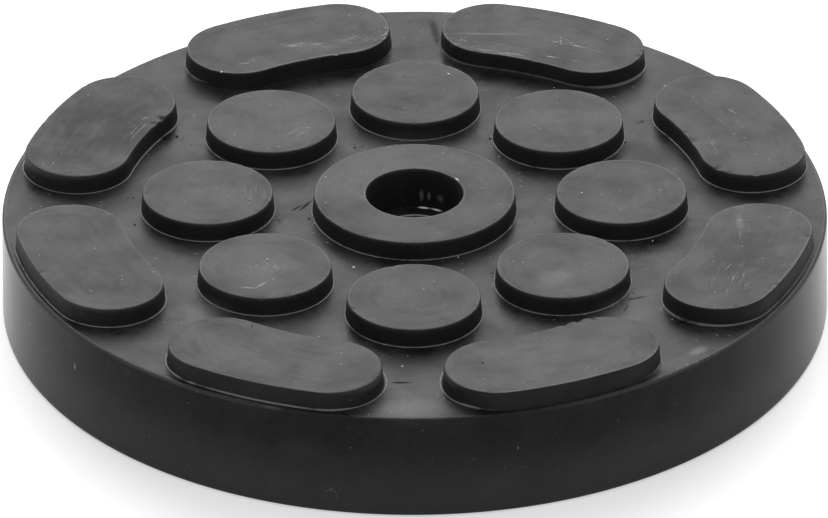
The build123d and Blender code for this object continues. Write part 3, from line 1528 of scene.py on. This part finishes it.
@dataclass(frozen=True)
class LooseBits:
    """Small stuff on the pad: pale grit, or dull crumbs of its own rubber.

    Attributes:
        name: Of the material.
        tone: Its average tone.
        spread: How far the tone goes up and down from one bit to the next.
        roughness: Of its surface.
        roughness_spread: How far the roughness goes up and down.
        specular_level: Of its shine.
    """

    name: str
    tone: float
    spread: float
    roughness: float
    roughness_spread: float = 0.2
    specular_level: float = 0.3

    def material(self) -> bpy.types.Material:
        """Makes the material.

        Returns:
            The material, ready for use.
        """
        sheet = NodeSheet(self.name)
        bits = sheet.noise(sheet.where, scale=0.8, detail=1.0)
        fine = sheet.noise(sheet.where, scale=9.0, detail=2.0)
        tone = sheet.total(self.tone, sheet.product(sheet.total(bits, fine), self.spread))
        roughness = sheet.sum("MULTIPLY_ADD", fine, self.roughness_spread, self.roughness)
        sheet.feed(sheet.shader.inputs["Base Color"], sheet.grey(tone))
        sheet.feed(sheet.shader.inputs["Roughness"], roughness)
        sheet.shader.inputs["Specular IOR Level"].default_value = self.specular_level
        return sheet.material


# ---- Studio -----------------------------------------------------------------------------------------


@dataclass(frozen=True)
class Softbox:
    """A large soft lamp that points at the pad.

    Attributes:
        name: Of the lamp.
        elevation: Above the horizon, in radians. It stands behind the pad, towards +Y.
        distance: From the pad.
        width: Across.
        height: Upwards.
        radiance: How bright its face is, where 1 is white.
    """

    name: str
    elevation: float
    distance: float
    width: float
    height: float
    radiance: float

    def place(self) -> None:
        """Adds the lamp to the scene."""
        lamp = bpy.data.lights.new(self.name, "AREA")
        lamp.shape = "RECTANGLE"
        lamp.size, lamp.size_y = self.width, self.height
        lamp.energy = self.radiance * math.pi * self.width * self.height
        holder = into_scene(self.name, lamp)
        towards = Vector((0.0, math.cos(self.elevation), math.sin(self.elevation)))
        holder.location = towards * self.distance
        holder.rotation_mode = "QUATERNION"
        holder.rotation_quaternion = towards.to_track_quat("Z", "Y")


@dataclass(frozen=True)
class Camera:
    """A long lens that looks down on the pad from the front.

    Attributes:
        focal_length: Of the lens, in millimetres.
        sensor_width: In millimetres.
        azimuth: Of the view, in radians, 0 looking along +Y.
        elevation: Above the horizon, in radians.
        roll: About the line of sight, in radians.
        distance: From the point that it aims at.
        aim: Offset of that point from the origin, to the right and up in the picture.
        clip: The nearest and the furthest that it sees.
    """

    focal_length: float = 308.3
    sensor_width: float = 36.0
    azimuth: float = math.radians(0.32)
    elevation: float = math.radians(30.154)
    roll: float = math.radians(-0.245)
    distance: float = 1.0406
    aim: Pair = (-0.139 * MM, 5.599 * MM)
    clip: Pair = (0.05, 20.0)

    def place(self) -> None:
        """Adds the camera to the scene and looks through it."""
        lens = bpy.data.cameras.new("camera")
        lens.sensor_width = self.sensor_width
        lens.lens = self.focal_length
        lens.clip_start, lens.clip_end = self.clip
        side, ahead, flat = math.sin(self.azimuth), math.cos(self.azimuth), math.cos(self.elevation)
        back = Vector((side * flat, -ahead * flat, math.sin(self.elevation)))
        level = Vector((ahead, side, 0.0))
        upright = back.cross(level)
        right = math.cos(self.roll) * level + math.sin(self.roll) * upright
        up = math.cos(self.roll) * upright - math.sin(self.roll) * level
        move = Matrix.Translation(back * self.distance + right * self.aim[0] + up * self.aim[1])
        holder = into_scene("camera", lens)
        holder.matrix_world = move @ Matrix((right, up, back)).transposed().to_4x4()
        bpy.context.scene.camera = holder


@dataclass(frozen=True)
class Studio:
    """A pale floor under soft light, with a white background.

    Attributes:
        floor_side: Of the square floor.
        floor_gap: Between the floor and the underside.
        floor_tone: Of its paint.
        floor_glow: How much brighter the camera sees it.
        floor_gloss_glow: How much brighter shiny surfaces see it.
        world_strength: Of the even light from all sides.
        softboxes: The lamps.
    """

    floor_side: float = 6.0
    floor_gap: float = 0.02 * MM
    floor_tone: float = 0.8
    floor_glow: float = 0.45
    floor_gloss_glow: float = 0.45
    world_strength: float = 0.45
    softboxes: tuple[Softbox, ...] = (
        Softbox("back_softbox", math.radians(36), distance=1.5, width=2.0, height=1.1, radiance=4.8),
        Softbox("top_softbox", math.radians(85), distance=1.4, width=1.2, height=1.2, radiance=0.6),
    )

    def floor_paint(self) -> bpy.types.Material:
        """Pale paint that the camera and shiny surfaces see brighter than it is lit.

        Returns:
            The material of the floor.
        """
        made = bpy.data.materials.new("pale_floor")
        made.use_nodes = True
        made.node_tree.nodes.clear()
        sheet = Nodes(made.node_tree)
        path = sheet.node("ShaderNodeLightPath").outputs
        glossy = sheet.product(path["Is Glossy Ray"], self.floor_gloss_glow)
        strength = sheet.sum("MULTIPLY_ADD", path["Is Camera Ray"], self.floor_glow, glossy)
        paint = sheet.node("ShaderNodeBsdfDiffuse", {"Color": (self.floor_tone,) * 3 + (1.0,)})
        glow = sheet.node("ShaderNodeEmission", {"Strength": strength})
        both = sheet.node("ShaderNodeAddShader", {0: paint.outputs[0], 1: glow.outputs[0]})
        sheet.node("ShaderNodeOutputMaterial", {"Surface": both.outputs[0]})
        return made

    def place_floor(self) -> None:
        """Adds the floor, apart from the pad."""
        half, level = self.floor_side / 2, -self.floor_gap
        mesh = bpy.data.meshes.new("floor")
        ends = [(-half, -half, level), (half, -half, level), (half, half, level), (-half, half, level)]
        mesh.from_pydata(ends, [], [(0, 1, 2, 3)])
        mesh.materials.append(self.floor_paint())
        into_scene("floor", mesh)

    def place_world(self) -> None:
        """Lights the scene evenly, and shows white behind it."""
        world = bpy.data.worlds.new("studio")
        bpy.context.scene.world = world
        world.use_nodes = True
        sheet = Nodes(world.node_tree)
        path = sheet.node("ShaderNodeLightPath").outputs
        seen = sheet.sum("MAXIMUM", path["Is Camera Ray"], path["Is Glossy Ray"])
        seen = sheet.sum("MAXIMUM", seen, path["Is Transmission Ray"])
        inputs = {"Value": seen, "To Min": self.world_strength, "To Max": 1.0}
        strength = sheet.node("ShaderNodeMapRange", inputs).outputs["Result"]
        back = sheet.tree.nodes["Background"].inputs
        sheet.feed(back["Color"], (1.0, 1.0, 1.0, 1.0))
        sheet.feed(back["Strength"], strength)

    def place(self) -> None:
        """Adds the floor, world and lamps."""
        self.place_floor()
        self.place_world()
        for softbox in self.softboxes:
            softbox.place()


# ---- Scene ------------------------------------------------------------------------------------------


def corners(box: tuple[Vector, Vector]) -> list[list[float]]:
    """The lowest and highest corner of a box as plain lists."""
    return [list(corner) for corner in box]


def join_in(piece: bpy.types.Object, material: bpy.types.Material) -> None:
    """Dresses a piece, makes it part of the pad and reports it.

    Args:
        piece: The piece.
        material: Its finish.
    """
    piece.data.materials.append(material)
    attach(piece, BODY)
    LOG.info("%s: %d triangles", piece.name, sum(len(face.vertices) - 2 for face in piece.data.polygons))


def main() -> None:
    """Builds the pad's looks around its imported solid."""
    logging.basicConfig(level=logging.INFO, format="%(message)s")
    bpy.context.scene.view_settings.view_transform = "Standard"
    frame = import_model()

    sizes = PadSizes.from_frame(frame["record"])
    moulding = Moulding(sizes)
    pad = moulding.build("moulded_pad")
    join_in(pad, BlackRubber(sizes).material())
    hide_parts(NODE)

    grit = Crumbs(
        moulding,
        seed=11,
        radius=(0.05 * MM, 0.10 * MM),
        strewn=110,
        placed=(
            (19.1, 243.0, 0.22), (46.1, 129.0, 0.18), (28.7, 223.0, 0.18), (24.3, 359.0, 0.17),
            (30.6, 48.0, 0.11), (35.8, 82.0, 0.15), (31.4, 148.0, 0.11), (24.0, 135.0, 0.12),
            (42.6, 137.0, 0.12), (41.6, 60.0, 0.11), (35.8, 344.0, 0.15), (52.0, 44.0, 0.15),
            (16.3, 206.0, 0.14), (15.9, 218.0, 0.12), (39.3, 250.0, 0.14), (45.2, 268.0, 0.13),
            (57.4, 313.0, 0.08), (56.8, 315.0, 0.11), (58.2, 320.0, 0.09), (58.4, 308.0, 0.08),
            (58.6, 330.0, 0.07), (58.9, 285.0, 0.09), (58.9, 269.5, 0.08), (58.9, 264.0, 0.08),
            (58.8, 251.0, 0.08),
        ),
    )
    bits = LooseBits("pale_grit", tone=0.60, spread=1.0, roughness=0.7)
    join_in(grit.build("pale_grit"), bits.material())

    crumbs = Crumbs(
        moulding,
        seed=23,
        radius=(0.05 * MM, 0.12 * MM),
        strewn=50,
        placed=(
            (41.2, 149.0, 0.26), (20.0, 189.0, 0.18), (15.6, 190.0, 0.15), (40.9, 187.0, 0.16),
            (23.6, 62.0, 0.16), (36.7, 32.0, 0.17), (42.3, 37.0, 0.14), (21.9, 301.0, 0.13),
            (41.2, 176.0, 0.13), (20.4, 116.0, 0.15),
        ),
        company=4,
    )
    bits = LooseBits("rubber_crumbs", tone=0.022, spread=0.02, roughness=0.55)
    join_in(crumbs.build("rubber_crumbs"), bits.material())

    Studio().place()
    Camera().place()


if __name__ == "__main__":
    main()
